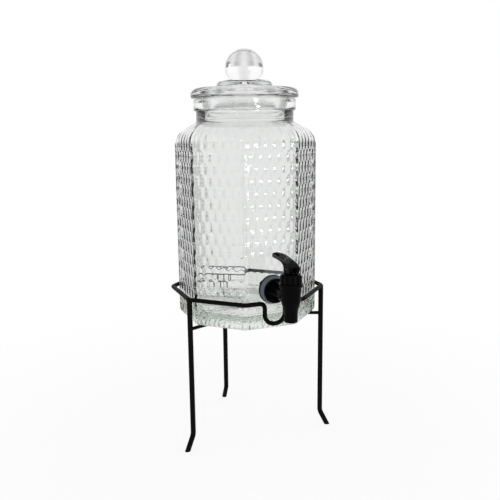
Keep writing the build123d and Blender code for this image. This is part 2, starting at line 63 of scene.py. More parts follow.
# Jar form
SIDES = 8
SIDE_TURN = math.tau / SIDES
HALF_SIDE_TAN = math.tan(SIDE_TURN / 2)
SIDE_WIDE = 2 * JAR_FLAT * HALF_SIDE_TAN
COLUMNS_PER_SIDE = 40
COLUMNS = SIDES * COLUMNS_PER_SIDE
JAR_CORNER = 0.0050
INNER_CORNER = 0.0060
GLASS_WALL = 0.0045
INNER_FLAT = JAR_FLAT - GLASS_WALL
JAR_FLOOR = 0.016
HEEL_ROUND = 0.006
INNER_HEEL_ROUND = 0.004
WALL_TALL = 0.2035
SHOULDER_TALL = 0.024
SHOULDER_POWER = 2.3
NECK_R = 0.0564
NECK_TALL = 0.013
BEAD_R = 0.0588
BEAD_ROUND = 0.0012
MOUTH_R = 0.050
WALL_TOP = JAR_BASE + WALL_TALL
NECK_BASE = WALL_TOP + SHOULDER_TALL
BEAD_BASE = NECK_BASE + NECK_TALL

# Recess under the jar, with scallops on the ring that the jar stands on
PUNT_R = 0.066
PUNT_DEEP = 0.007
PUNT_TOP = JAR_BASE + PUNT_DEEP
KNURLS_PER_SIDE = 8
KNURL_DEEP = 0.0022
STIPPLE_SCALE = 260.0
STIPPLE_DEEP = 0.0012

# Tap hole in the jar
HOLE_R = 0.0084
HOLE_MARGIN = 0.0006
HOLE_ZONE = 0.014

# Pressed cells and flutes on the jar; inside, the rear sides are plain
CELLS_PER_SIDE = 6
CELL_PITCH = SIDE_WIDE / CELLS_PER_SIDE
CELL_ROW = 0.01281
CELL_TOP = 0.3381
CELL_SHIFT = -0.0047
CELL_HOLLOW_R = 0.019
CELL_TALL_SHARE = 0.89
CELL_DEEP = 0.00125
CELL_INSIDE_SHARE = 0.34
CELL_EDGE_FADE = 0.0015
REAR_SIDES = (3, 4, 5)
FLUTE_DEEP = 0.0009
PLAIN_TOP = 0.237
PLAIN_FADE = 0.010

# Rows of the jar's grid
WALL_ROWS = 124
SHOULDER_ROWS = 20
INNER_SHOULDER_ROWS = 10
INNER_LOW_ROWS = 5
HOLE_ROWS = 18
INNER_HIGH_ROWS = 76
ARC_ROWS = 5

# Lid form
LID_LOW, LID_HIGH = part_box("glass_lid")
LID_R = (LID_HIGH.x - LID_LOW.x) / 2
SEAL_FLANGE = 0.0014
LID_RIM_TALL = 0.0108
LID_RIM_ROUND = 0.0074
LID_UNDER_ROUND = 0.0026
LID_TOP_RISE = 0.001
PEDESTAL_R = 0.033
PEDESTAL_TALL = 0.0073
PEDESTAL_SLOPE = 0.002
PEDESTAL_FOOT_ROUND = 0.0012
PEDESTAL_TOP_ROUND = 0.006
LID_DOME_TALL = 0.0104
LID_PLATE = 0.006
PLUG_R = 0.0475
PLUG_WALL = 0.004
PLUG_ROUND = 0.0012
KNOB_R = 0.022
KNOB_UNDER_ROUND = 0.015
KNOB_NECK_DROP = 0.013
KNOB_ROWS = 14
SPIN_STEPS = 144
LID_SEAT = JAR_TOP + SEAL_FLANGE
LID_RIM_TOP = LID_SEAT + LID_RIM_TALL
LID_DOME_TOP = LID_RIM_TOP + LID_DOME_TALL

# Tap trim
BONNET_LOW, BONNET_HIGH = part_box("tap_bonnet")
BONNET_R = (BONNET_HIGH.x - BONNET_LOW.x) / 2
BARREL_Y = (BONNET_LOW.y + BONNET_HIGH.y) / 2
BARREL_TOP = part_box("tap_body")[1].z
LIP_OUT_R = 0.0127
LIP_WIDE = 0.0025
LIP_TALL = 0.0036
LIP_ROUND = 0.0009
RIB_COUNT = 12
RIB_WIDE = 0.0024
RIB_PROUD = 0.0010
RIB_SUNK = 0.0008
RIB_ROUND = 0.0004
RIB_ROUND_STEPS = 3
RIB_FOOT_GAP = 0.0004
RIB_TOP_DROP = 0.0014
RIB_BASE = BARREL_TOP + RIB_FOOT_GAP
RIB_TOP = BONNET_HIGH.z - RIB_TOP_DROP
SPRING_WIRE = 0.0009
SPRING_TURNS = 7
SPRING_STEPS = 24
SPRING_SIDES = 8

# Points closer than this become one
MERGE_DIST = 1e-6


# Mesh helpers

def merge_and_turn_out(bm):
    """Merge doubles and point the faces outwards."""
    bmesh.ops.remove_doubles(bm, verts=bm.verts[:], dist=MERGE_DIST)
    bmesh.ops.recalc_face_normals(bm, faces=bm.faces[:])


def add_object(bm, name, material):
    """Make the bmesh an object of the scene."""
    mesh = bpy.data.meshes.new(name)
    bm.to_mesh(mesh)
    bm.free()
    mesh.materials.append(material)
    made = bpy.data.objects.new(name, mesh)
    bpy.context.scene.collection.objects.link(made)
    return made


def finish_mesh(bm, name, body, material):
    """Make the bmesh a smooth piece, on its body if it has one."""
    merge_and_turn_out(bm)
    for face in bm.faces:
        face.smooth = True
    piece = add_object(bm, name, material)
    if body:
        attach(piece, body)
    return piece


def arc_points(before, corner, after, radius):
    """Points of the arc that rounds one corner of an outline."""
    into = (corner - before).normalized()
    out = (after - corner).normalized()
    turn = into.angle(out)
    if radius == 0 or turn == 0:
        return [corner]
    reach = radius * math.tan(turn / 2)
    start = corner - into * reach
    side = out - into * into.dot(out)
    middle = start + side.normalized() * radius
    points = []
    for step in range(ARC_ROWS + 1):
        angle = turn * step / ARC_ROWS
        spoke = (start - middle) * math.cos(angle) + into * radius * math.sin(angle)
        points.append(middle + spoke)
    return points


def rounded_outline(points, rounds):
    """An open outline of (radius, height) points with a rounding at each corner between its ends."""
    corners = [Vector(point) for point in points]
    outline = [corners[0]]
    for index in range(1, len(corners) - 1):
        outline += arc_points(*corners[index - 1:index + 2], rounds[index])
    return outline + [corners[-1]]


def turned(outline):
    """Spin an outline of (radius, height) points round the jar's axis."""
    bm = bmesh.new()
    verts = [bm.verts.new((point.x, AXIS_Y, point.y)) for point in outline]
    edges = [bm.edges.new(pair) for pair in zip(verts, verts[1:])]
    axis = (0, AXIS_Y, 0)
    bmesh.ops.spin(
        bm, geom=verts + edges, cent=axis, axis=(0, 0, 1), angle=math.tau, steps=SPIN_STEPS, use_merge=True
    )
    return bm


def smooth_step(low, high, value):
    """Zero up to low, one from high on, and a smooth rise between them."""
    share = min(max((value - low) / (high - low), 0), 1)
    return share * share * (3 - 2 * share)


# Jar

def octagon_reach(flat, corner, turn):
    """How far a rounded octagon's outline is from its axis, at a turn from the middle of a side."""
    if math.tan(abs(turn)) * flat <= (flat - corner) * HALF_SIDE_TAN:
        return flat / math.cos(turn)
    centre_r = (flat - corner) / math.cos(SIDE_TURN / 2)
    lag = SIDE_TURN / 2 - abs(turn)
    return centre_r * math.cos(lag) + math.sqrt(corner**2 - (centre_r * math.sin(lag)) ** 2)


def cell_depth(along, height):
    """Depth of the pressed hollows at a place on a side, where every other row is half a cell along."""
    row = (CELL_TOP - height) / CELL_ROW
    nearest = math.inf
    for index in (math.floor(row), math.ceil(row)):
        shift = 0.5 * (index % 2)
        column = round((along - CELL_SHIFT) / CELL_PITCH - shift) + shift
        across = along - CELL_SHIFT - column * CELL_PITCH
        rise = (row - index) * CELL_ROW * CELL_TALL_SHARE
        nearest = min(nearest, across**2 + rise**2)
    return CELL_DEEP - nearest / (2 * CELL_HOLLOW_R)


def flute_depth(along):
    """Depth of a flute on the shoulder, at a place across the side."""
    cells = (along - CELL_SHIFT) / CELL_PITCH
    offset = cells - math.floor(cells) - 0.5
    return FLUTE_DEEP * (1 - 4 * offset**2)


def relief_depth(side, share, height):
    """How deep the pattern is pressed at a place on the jar's outside."""
    along = share * SIDE_WIDE / 2
    if height > WALL_TOP:
        fade = 1 - smooth_step(WALL_TOP, NECK_BASE, height)
        return flute_depth(along) * fade
    depth = cell_depth(along, height)
    meets_flutes = smooth_step(CELL_TOP + CELL_ROW / 2, WALL_TOP, height)
    depth += (flute_depth(along) - depth) * meets_flutes
    depth *= smooth_step(JAR_BASE, JAR_BASE + HEEL_ROUND, height)
    depth *= smooth_step(0, CELL_EDGE_FADE, SIDE_WIDE / 2 * (1 - abs(share)))
    if side == 0:
        depth *= smooth_step(PLAIN_TOP - PLAIN_FADE, PLAIN_TOP, height)
    return depth


def heel_rows(flat, corner, base, radius):
    """Rows of the rounded heel, from the base outwards and up."""
    rows = []
    for step in range(ARC_ROWS + 1):
        angle = math.pi / 2 * step / ARC_ROWS
        inset = radius * (1 - math.sin(angle))
        height = base + radius * (1 - math.cos(angle))
        rows.append((flat - inset, max(corner - inset, radius / ARC_ROWS), height))
    return rows


def shoulder_rows(flat, corner, neck, count):
    """Rows of the shoulder, from the top of the wall to the round neck."""
    rows = []
    for step in range(1, count + 1):
        share = step / count
        row_flat = flat - (flat - neck) * share**SHOULDER_POWER
        row_corner = corner + (row_flat - corner) * share**2
        rows.append((row_flat, row_corner, WALL_TOP + SHOULDER_TALL * share))
    return rows


def wall_rows(flat, corner, base, top, count):
    """Evenly spaced rows of the straight wall between two heights."""
    rise = (top - base) / count
    return [(flat, corner, base + rise * step) for step in range(1, count + 1)]


def finish_rows():
    """Round rows of the neck, the bead and the mouth, from outside to inside."""
    outline = rounded_outline(
        [
            (NECK_R, NECK_BASE),
            (NECK_R, BEAD_BASE),
            (BEAD_R, BEAD_BASE),
            (BEAD_R, JAR_TOP),
            (MOUTH_R, JAR_TOP),
            (MOUTH_R, NECK_BASE),
        ],
        [0] + [BEAD_ROUND] * 4 + [0],
    )
    return [(point.x, point.x, point.y) for point in outline[1:]]


def jar_rows():
    """Rows up the outside from the base's middle, and rows over the rim and down to the floor's middle."""
    outside = [
        (0, 0, PUNT_TOP),
        (PUNT_R - PUNT_DEEP, PUNT_R - PUNT_DEEP, PUNT_TOP),
        (PUNT_R, PUNT_R, JAR_BASE),
    ]
    outside += heel_rows(JAR_FLAT, JAR_CORNER, JAR_BASE, HEEL_ROUND)
    outside += wall_rows(JAR_FLAT, JAR_CORNER, JAR_BASE + HEEL_ROUND, WALL_TOP, WALL_ROWS)
    outside += shoulder_rows(JAR_FLAT, JAR_CORNER, NECK_R, SHOULDER_ROWS)
    inner_base = JAR_BASE + JAR_FLOOR
    inside = [(0, 0, inner_base)]
    inside += heel_rows(INNER_FLAT, INNER_CORNER, inner_base, INNER_HEEL_ROUND)
    heights = (inner_base + INNER_HEEL_ROUND, TAP_Z - HOLE_ZONE, TAP_Z + HOLE_ZONE, WALL_TOP)
    counts = (INNER_LOW_ROWS, HOLE_ROWS, INNER_HIGH_ROWS)
    for low, high, count in zip(heights, heights[1:], counts):
        inside += wall_rows(INNER_FLAT, INNER_CORNER, low, high, count)
    inside += shoulder_rows(INNER_FLAT, INNER_CORNER, MOUTH_R, INNER_SHOULDER_ROWS)
    return outside, finish_rows() + inside[::-1]


def jar_point(column, row, is_outside):
    """Place of one grid vertex; the pattern is pressed into the outside and shows faintly inside."""
    flat, corner, height = row
    side, step = divmod(column + COLUMNS_PER_SIDE // 2, COLUMNS_PER_SIDE)
    side %= SIDES
    share = 2 * (step / COLUMNS_PER_SIDE) - 1
    if is_outside and height > JAR_BASE + HEEL_ROUND / 2 and (flat > PUNT_R or height > WALL_TOP):
        depth = relief_depth(side, share, height)
        flat -= depth
        corner -= depth
    elif not is_outside and flat == INNER_FLAT and side not in REAR_SIDES:
        flat -= relief_depth(side, share, height) * CELL_INSIDE_SHARE
    elif is_outside and flat == PUNT_R:
        height += KNURL_DEEP * (1 - math.cos(math.pi * KNURLS_PER_SIDE * share)) / 2
    lag = math.atan(HALF_SIDE_TAN * share)
    reach = octagon_reach(flat, corner, lag) if flat else 0
    turn = side * SIDE_TURN + lag
    return (reach * math.sin(turn), AXIS_Y - reach * math.cos(turn), height)


def cut_tap_hole(bm):
    """Open the tap side of the wall and join the outer and the inner edge of the hole."""
    def off_centre(vert):
        return math.hypot(vert.co.x, vert.co.z - TAP_Z)

    def in_hole(vert):
        return vert.co.y < AXIS_Y - JAR_FLAT / 2 and off_centre(vert) < HOLE_R + HOLE_MARGIN

    cut = [face for face in bm.faces if all(in_hole(vert) for vert in face.verts)]
    bmesh.ops.delete(bm, geom=cut, context="FACES")
    edges = [edge for edge in bm.edges if edge.is_boundary]
    for vert in {vert for edge in edges for vert in edge.verts}:
        stretch = HOLE_R / off_centre(vert)
        vert.co.x *= stretch
        vert.co.z = TAP_Z + (vert.co.z - TAP_Z) * stretch
    bmesh.ops.bridge_loops(bm, edges=edges)


def glass_jar(material):
    """Eight-sided jar: one grid wrapped round the axis, from the base up and back down inside."""
    outside, inside = jar_rows()
    rows = outside + inside
    bm = bmesh.new()
    bmesh.ops.create_grid(bm, x_segments=COLUMNS, y_segments=len(rows) - 1, size=0.5)
    for vert in bm.verts:
        column = round((vert.co.x + 0.5) * COLUMNS)
        index = round((vert.co.y + 0.5) * (len(rows) - 1))
        vert.co = jar_point(column, rows[index], index < len(outside))
    merge_and_turn_out(bm)
    cut_tap_hole(bm)
    jar = finish_mesh(bm, "jar_glass", "jar", material)
    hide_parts("glass_jar")


# Lid

def knob_points():
    """The ball's outline from its neck to its top, flatter below its widest place than above it."""
    middle = LID_HIGH.z - KNOB_R
    inset = KNOB_R - KNOB_UNDER_ROUND
    start = -math.asin(KNOB_NECK_DROP / KNOB_UNDER_ROUND)
    points = []
    for step in range(KNOB_ROWS + 1):
        angle = start * (1 - step / KNOB_ROWS)
        out = inset + KNOB_UNDER_ROUND * math.cos(angle)
        points.append(Vector((out, middle + KNOB_UNDER_ROUND * math.sin(angle))))
    for step in range(1, 2 * KNOB_ROWS + 1):
        angle = math.pi / 2 * step / (2 * KNOB_ROWS)
        points.append(Vector((KNOB_R * math.cos(angle), middle + KNOB_R * math.sin(angle))))
    return points


def glass_lid(material):
    """Thick rim, stepped dome with a ball knob, and the hollow plug below, as one turned piece."""
    plug_in = PLUG_R - PLUG_WALL
    step_foot = LID_RIM_TOP + LID_TOP_RISE
    knob = knob_points()
    corners = [
        (0, LID_DOME_TOP - LID_PLATE),
        (plug_in, LID_RIM_TOP - LID_PLATE),
        (plug_in, LID_LOW.z),
        (PLUG_R, LID_LOW.z),
        (PLUG_R, LID_SEAT),
        (LID_R, LID_SEAT),
        (LID_R, LID_RIM_TOP),
        (PEDESTAL_R, step_foot),
        (PEDESTAL_R - PEDESTAL_SLOPE, step_foot + PEDESTAL_TALL),
        knob[0],
    ]
    rounds = [0] + [PLUG_ROUND] * 4
    rounds += [LID_UNDER_ROUND, LID_RIM_ROUND, PEDESTAL_FOOT_ROUND, PEDESTAL_TOP_ROUND, 0]
    outline = rounded_outline(corners, rounds) + knob[1:]
    lid = finish_mesh(turned(outline), "lid_glass", "lid", material)
    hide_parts("glass_lid")


# Tap trim

def barrel_lip(material):
    """The raised lip round the top of the tap's barrel."""
    inner = LIP_OUT_R - LIP_WIDE
    base = BARREL_TOP - LIP_TALL
    corners = [(inner, base), (LIP_OUT_R, base), (LIP_OUT_R, BARREL_TOP), (inner, BARREL_TOP), (inner, base)]
    bm = turned(rounded_outline(corners, [0, LIP_ROUND, LIP_ROUND, 0, 0]))
    bmesh.ops.translate(bm, verts=bm.verts[:], vec=(0, BARREL_Y - AXIS_Y, 0))
    finish_mesh(bm, "barrel_lip", "jar", material)


def bonnet_ribs(material):
    """Upright grip ribs round the tap's bonnet."""
    bm = bmesh.new()
    middle = Matrix.Translation((0, BARREL_Y, (RIB_BASE + RIB_TOP) / 2))
    out = Matrix.Translation((0, -(BONNET_R + (RIB_PROUD - RIB_SUNK) / 2), 0))
    size = Matrix.Diagonal((RIB_WIDE, RIB_PROUD + RIB_SUNK, RIB_TOP - RIB_BASE, 1))
    for index in range(RIB_COUNT):
        turn = Matrix.Rotation(math.tau * index / RIB_COUNT, 4, "Z")
        bmesh.ops.create_cube(bm, size=1, matrix=middle @ turn @ out @ size)
    bmesh.ops.bevel(
        bm, geom=bm.edges[:], offset=RIB_ROUND, affect="EDGES",
        segments=RIB_ROUND_STEPS, profile=0.5, material=-1,
    )
    finish_mesh(bm, "bonnet_ribs", "jar", material)


def valve_spring(material):
    """The return spring's coil between the bung and the bonnet, at one length; the real coil shortens as the
    valve lifts.
    """
    low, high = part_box("return_spring")
    wire_r = SPRING_WIRE / 2
    axis = Vector((0, BARREL_Y, low.z + wire_r))
    reach = high.x - wire_r
    steps = SPRING_TURNS * SPRING_STEPS
    rise = (high.z - low.z - SPRING_WIRE) / steps
    place = Matrix.Translation(axis + Vector((reach, 0, 0))) @ Matrix.Rotation(math.pi / 2, 4, "X")
    bm = bmesh.new()
    ring = bmesh.ops.create_circle(bm, segments=SPRING_SIDES, radius=wire_r, matrix=place)["verts"]
    bmesh.ops.spin(
        bm, geom=ring + bm.edges[:], cent=axis, axis=(0, 0, 1), dvec=(0, 0, rise),
        angle=math.tau * SPRING_TURNS, steps=steps,
    )
    ends = [edge for edge in bm.edges if edge.is_boundary]
    bmesh.ops.holes_fill(bm, edges=ends, sides=SPRING_SIDES)
    spring = finish_mesh(bm, "valve_spring", None, material)
    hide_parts("return_spring")
    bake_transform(spring)


# Node helpers

def feed(tree, node, inputs):
    """Link each of these inputs of a node to a socket, or set it to a value."""
    for key, value in inputs.items():
        if isinstance(value, bpy.types.NodeSocket):
            tree.links.new(value, node.inputs[key])
        else:
            node.inputs[key].default_value = value


def add_node(tree, kind, inputs, **settings):
    """A new node with its settings made and its inputs fed."""
    node = tree.nodes.new(kind)
    for name, value in settings.items():
        setattr(node, name, value)
    feed(tree, node, inputs)
    return node


def add_math(tree, operation, *values):
    """The result of a sum on sockets and numbers."""
    return add_node(tree, "ShaderNodeMath", dict(enumerate(values)), operation=operation).outputs[0]


def add_vector_math(tree, operation, *values, result="Vector"):
    """The result of a sum on directions or places."""
    node = add_node(tree, "ShaderNodeVectorMath", dict(enumerate(values)), operation=operation)
    return node.outputs[result]


def add_range(tree, value, low, high, to_low=0.0, to_high=1.0, **settings):
    """A value moved from one range to another."""
    inputs = {"Value": value, "From Min": low, "From Max": high, "To Min": to_low, "To Max": to_high}
    return add_node(tree, "ShaderNodeMapRange", inputs, **settings).outputs["Result"]


def add_mix(tree, factor, first, second):
    """A mix of two colours."""
    inputs = {"Factor": factor, "A": first, "B": second}
    return add_node(tree, "ShaderNodeMix", inputs, data_type="RGBA").outputs["Result"]


def add_noise(tree, place, scale, detail):
    """Soft noise from zero to one."""
    inputs = {"Vector": place, "Scale": scale, "Detail": detail}
    return add_node(tree, "ShaderNodeTexNoise", inputs).outputs["Fac"]


def add_height(tree, vector):
    """The upright part of a place or a direction."""
    return add_node(tree, "ShaderNodeSeparateXYZ", {0: vector}).outputs["Z"]


def add_place(tree):
    """The place on the piece, in the part's own frame."""
    return add_node(tree, "ShaderNodeTexCoord", {}).outputs["Object"]


def add_group(tree, group, place, values):
    """The outputs of a shared group, placed in a material with its own values."""
    return add_node(tree, "ShaderNodeGroup", {"Vector": place, **values}, node_tree=group).outputs


def grey(level):
    """A grey as a colour value."""
    return (level, level, level, 1)


def new_material(name):
    """A node material, its tree and its Principled shader."""
    material = bpy.data.materials.new(name)
    material.use_nodes = True
    return material, material.node_tree, material.node_tree.nodes["Principled BSDF"]


def shader_group(name, inputs, outputs):
    """A shader node group with named sockets and nothing between them yet."""
    group = bpy.data.node_groups.new(name, "ShaderNodeTree")
    for label, kind, value in inputs:
        socket = group.interface.new_socket(label, in_out="INPUT", socket_type=kind)
        if value is not None:
            socket.default_value = value
    for label, kind in outputs:
        group.interface.new_socket(label, in_out="OUTPUT", socket_type=kind)
    return group, group.nodes.new("NodeGroupInput").outputs, group.nodes.new("NodeGroupOutput")


# Values inside the shared groups and the stipple
GRAIN_DETAIL = 3.0
DRIFT_DETAIL = 4.0
DRIFT_LOW = 0.3
DRIFT_HIGH = 0.7
EDGE_START = 0.53
EDGE_FULL = 0.62
WEAR_SCALE = 160.0
WEAR_DETAIL = 5.0
UPWARD_START = 0.45
LEVEL_START = 0.6
LEVEL_FULL = 0.9

# Finishes: shader values for the material's own shader, grain and wear values for the shared groups.
# Depth is the height of the bump. A finish with no wear drifts between two tints.
GLASS_SHADER = {"Transmission Weight": 1.0, "IOR": 1.51}
GLASS_TINTS = (grey(1.0), (0.985, 0.99, 0.985, 1))
GLASS_BODY_COLOUR = (0.46, 0.64, 0.48, 1)
GLASS_DENSITY = {"jar_glass": 6.0, "lid_glass": 0.6}
FINISHES = {
    "jar_glass": {
        "name": "pressed_glass",
        "shader_values": GLASS_SHADER,
        "grain_values": {"Grain Scale": 140.0, "Drift Scale": 25.0, "Low": 0.0, "High": 0.015},
        "bump": 1.0,
        "depth": 0.00002,
        "tints": GLASS_TINTS,
    },
    "lid_glass": {
        "name": "lid_glass",
        "shader_values": GLASS_SHADER,
        "grain_values": {"Grain Scale": 90.0, "Drift Scale": 25.0, "Low": 0.0, "High": 0.015},
        "bump": 1.0,
        "depth": 0.00010,
        "tints": GLASS_TINTS,
    },
    "silicone": {
        "name": "clear_silicone",
        "shader_values": {"Transmission Weight": 1.0, "IOR": 1.41},
        "grain_values": {"Grain Scale": 700.0, "Drift Scale": 60.0, "Low": 0.02, "High": 0.06},
        "bump": 0.15,
        "depth": 0.0004,
        "tints": ((0.99, 0.995, 0.995, 1), (0.98, 0.985, 0.985, 1)),
    },
    "steel": {
        "name": "spring_steel",
        "shader_values": {"Metallic": 1.0},
        "grain_values": {"Grain Scale": 1500.0, "Drift Scale": 200.0, "Low": 0.2, "High": 0.34},
        "bump": 0.1,
        "depth": 0.0002,
        "tints": ((0.58, 0.57, 0.55, 1), grey(0.44)),
    },
    "wire": {
        "name": "powder_coat",
        "shader_values": {"Specular IOR Level": 0.04},
        "grain_values": {"Grain Scale": 1100.0, "Drift Scale": 50.0, "Low": 0.36, "High": 0.5},
        "bump": 0.25,
        "depth": 0.0003,
        "wear_values": {"Colour": (0.0025, 0.0023, 0.002, 1), "Rub Amount": 0.12, "Dust Amount": 0.02},
    },
    "plastic": {
        "name": "gloss_black_plastic",
        "shader_values": {"Specular IOR Level": 0.03},
        "grain_values": {"Grain Scale": 1600.0, "Drift Scale": 70.0, "Low": 0.14, "High": 0.26},
        "bump": 0.06,
        "depth": 0.0002,
        "wear_values": {"Colour": (0.002, 0.002, 0.0022, 1), "Rub Amount": 0.1, "Dust Amount": 0.01},
    },
    "rubber": {
        "name": "black_rubber",
        "shader_values": {"Specular IOR Level": 0.1},
        "grain_values": {"Grain Scale": 1300.0, "Drift Scale": 90.0, "Low": 0.55, "High": 0.7},
        "bump": 0.3,
        "depth": 0.0003,
        "wear_values": {"Colour": grey(0.016), "Rub Amount": 0.2, "Dust Amount": 0.15},
    },
    "grey_rubber": {
        "name": "grey_rubber",
        "shader_values": {"Specular IOR Level": 0.22},
        "grain_values": {"Grain Scale": 1300.0, "Drift Scale": 90.0, "Low": 0.4, "High": 0.55},
        "bump": 0.2,
        "depth": 0.0003,
        "wear_values": {
            "Colour": (0.12, 0.14, 0.155, 1),
            "Rubbed": (0.2, 0.22, 0.24, 1),
            "Rub Amount": 0.3,
            "Dust Amount": 0.1,
        },
    },
}

# Nodes that take each finish
NODE_FINISH = {
    "wire": (
        "stand_ring",
        "stand_leg_left",
        "stand_leg_right",
        "stand_leg_rear",
        "stand_cross_wire",
        "stand_rear_wire",
    ),
    "plastic": ("tap_body", "tap_bonnet", "tap_lever", "valve_stem", "tap_lock_nut"),
    "rubber": ("tap_outer_washer", "tap_inner_washer", "stem_o_ring"),
    "grey_rubber": ("tap_gasket",),
    "silicone": ("lid_seal_ring", "valve_seal"),
    "steel": ("return_spring", "lever_pin"),
    "jar_glass": ("glass_jar",),
    "lid_glass": ("glass_lid",),
}


# Materials

def grain_group():
    """Fine grain for bump, and a slow drift between two roughness values."""
    group, entry, leave = shader_group(
        "surface_grain",
        [
            ("Vector", "NodeSocketVector", None),
            ("Grain Scale", "NodeSocketFloat", 900.0),
            ("Drift Scale", "NodeSocketFloat", 40.0),
            ("Low", "NodeSocketFloat", 0.2),
            ("High", "NodeSocketFloat", 0.3),
        ],
        [("Height", "NodeSocketFloat"), ("Roughness", "NodeSocketFloat"), ("Drift", "NodeSocketFloat")],
    )
    grain = add_noise(group, entry["Vector"], entry["Grain Scale"], GRAIN_DETAIL)
    drift = add_noise(group, entry["Vector"], entry["Drift Scale"], DRIFT_DETAIL)
    roughness = add_range(group, drift, DRIFT_LOW, DRIFT_HIGH, entry["Low"], entry["High"])
    feed(group, leave, {"Height": grain, "Roughness": roughness, "Drift": drift})
    return group


def wear_group():
    """Colour that lightens on rubbed edges and where fine dust settles on upward faces."""
    group, entry, leave = shader_group(
        "rub_and_dust",
        [
            ("Vector", "NodeSocketVector", None),
            ("Colour", "NodeSocketColor", grey(0.01)),
            ("Rubbed", "NodeSocketColor", grey(0.05)),
            ("Dust", "NodeSocketColor", (0.12, 0.115, 0.11, 1)),
            ("Rub Amount", "NodeSocketFloat", 0.4),
            ("Dust Amount", "NodeSocketFloat", 0.1),
        ],
        [("Colour", "NodeSocketColor")],
    )
    shape = add_node(group, "ShaderNodeNewGeometry", {}).outputs
    edge = add_range(group, shape["Pointiness"], EDGE_START, EDGE_FULL)
    upward = add_range(group, add_height(group, shape["Normal"]), UPWARD_START, 1.0)
    broken = add_noise(group, entry["Vector"], WEAR_SCALE, WEAR_DETAIL)
    rub_mask = add_math(group, "MULTIPLY", edge, broken)
    rub_share = add_math(group, "MULTIPLY", rub_mask, entry["Rub Amount"])
    dust_mask = add_math(group, "MULTIPLY", upward, broken)
    dust_share = add_math(group, "MULTIPLY", dust_mask, entry["Dust Amount"])
    rubbed = add_mix(group, rub_share, entry["Colour"], entry["Rubbed"])
    feed(group, leave, {"Colour": add_mix(group, dust_share, rubbed, entry["Dust"])})
    return group


def surface_material(groups, name, shader_values, grain_values, bump, depth, tints=None, wear_values=None):
    """Roughness and bump from the grain group, and colour from two tints or from the wear group."""
    material, tree, shader = new_material(name)
    feed(tree, shader, shader_values)
    place = add_place(tree)
    grain = add_group(tree, groups["grain"], place, grain_values)
    raised = {"Strength": bump, "Distance": depth, "Height": grain["Height"]}
    normal = add_node(tree, "ShaderNodeBump", raised).outputs["Normal"]
    if tints:
        colour = add_mix(tree, grain["Drift"], *tints)
    else:
        colour = add_group(tree, groups["wear"], place, wear_values)["Colour"]
    feed(tree, shader, {"Base Color": colour, "Roughness": grain["Roughness"], "Normal": normal})
    return material


def add_body_colour(material, density):
    """The grey-green that clear glass takes on with its thickness."""
    tree = material.node_tree
    body = add_node(tree, "ShaderNodeVolumeAbsorption", {"Color": GLASS_BODY_COLOUR, "Density": density})
    feed(tree, tree.nodes["Material Output"], {"Volume": body.outputs["Volume"]})


def add_stipple(material):
    """Stipple the top of the recess under the jar with a coarse bump."""
    tree = material.node_tree
    shader = tree.nodes["Principled BSDF"]
    waves = shader.inputs["Normal"].links[0].from_socket
    place = add_place(tree)
    height = add_height(tree, place)
    from_below = add_range(tree, height, JAR_BASE + PUNT_DEEP / 2, PUNT_TOP)
    from_above = add_range(tree, height, (PUNT_TOP + JAR_BASE + JAR_FLOOR) / 2, PUNT_TOP)
    facing = add_node(tree, "ShaderNodeNewGeometry", {}).outputs["Normal"]
    upright = add_math(tree, "ABSOLUTE", add_height(tree, facing))
    level = add_range(tree, upright, LEVEL_START, LEVEL_FULL)
    near_top = add_math(tree, "MULTIPLY", from_above, from_below)
    mask = add_math(tree, "MULTIPLY", near_top, level)
    dots = add_node(tree, "ShaderNodeTexVoronoi", {"Vector": place, "Scale": STIPPLE_SCALE})
    dot_height = add_math(tree, "MULTIPLY", dots.outputs["Distance"], mask)
    raised = {"Distance": STIPPLE_DEEP, "Height": dot_height, "Normal": waves}
    feed(tree, shader, {"Normal": add_node(tree, "ShaderNodeBump", raised).outputs["Normal"]})


def make_materials():
    """Every finish on the object by its name."""
    groups = {"grain": grain_group(), "wear": wear_group()}
    materials = {finish: surface_material(groups, **values) for finish, values in FINISHES.items()}
    for finish, density in GLASS_DENSITY.items():
        add_body_colour(materials[finish], density)
    add_stipple(materials["jar_glass"])
    return materials


def dress_nodes(materials):
    """Give every carried-over node its finish."""
    for finish, names in NODE_FINISH.items():
        for name in names:
            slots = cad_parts[name].data.materials
            slots.clear()
            slots.append(materials[finish])


# Camera fitted to the photograph's view, placed from the jar's axis
CAMERA_PLACE = Vector((-0.27445, AXIS_Y - 0.70279, 0.36497))
CAMERA_TURN = math.radians(-21.65)
CAMERA_PITCH = math.radians(10.57)
CAMERA_ROLL = math.radians(-0.66)
CAMERA_LENS = 45.87
SENSOR_WIDE = 36.0

# Backdrop that glass and gloss see: grey levels by the turn in degrees from its middle
BACKDROP_TURN = CAMERA_TURN
BACKDROP_LEVEL = 1.0
FILL_LEVEL = 0.9
LOW_SWEEP = (
    (0, 0.83), (3, 0.81), (10, 0.6), (17, 0.47), (26, 0.8), (33, 0.74), (46, 0.1), (58, 0.12), (85, 0.9),
)
HIGH_SWEEP = ((0, 0.78), (9, 0.84), (16, BACKDROP_LEVEL), (55, BACKDROP_LEVEL), (80, 0.7), (110, 0.9))
FLOOR_SWEEP = ((0, 0.81), (3, 0.79), (10, 0.66), (17, 0.56), (26, 0.82), (40, 0.7), (60, 0.5), (90, 0.9))
HORIZON_BOTTOM = -0.02
HORIZON_TOP = 0.03
GLASS_BOUNCES = 48

# Floor, which glows less under the object so that a soft shadow shows
FLOOR_LEVEL = 0.9
FLOOR_ROUGHNESS = 0.9
FLOOR_GLOW_SHARE = 0.85
FLOOR_GLOW_NEAR = 0.2
FLOOR_GLOW_FAR = 0.6
FLOOR_HALF_WIDE = 1.6
FLOOR_FRONT = -0.55
FLOOR_BACK = 2.4

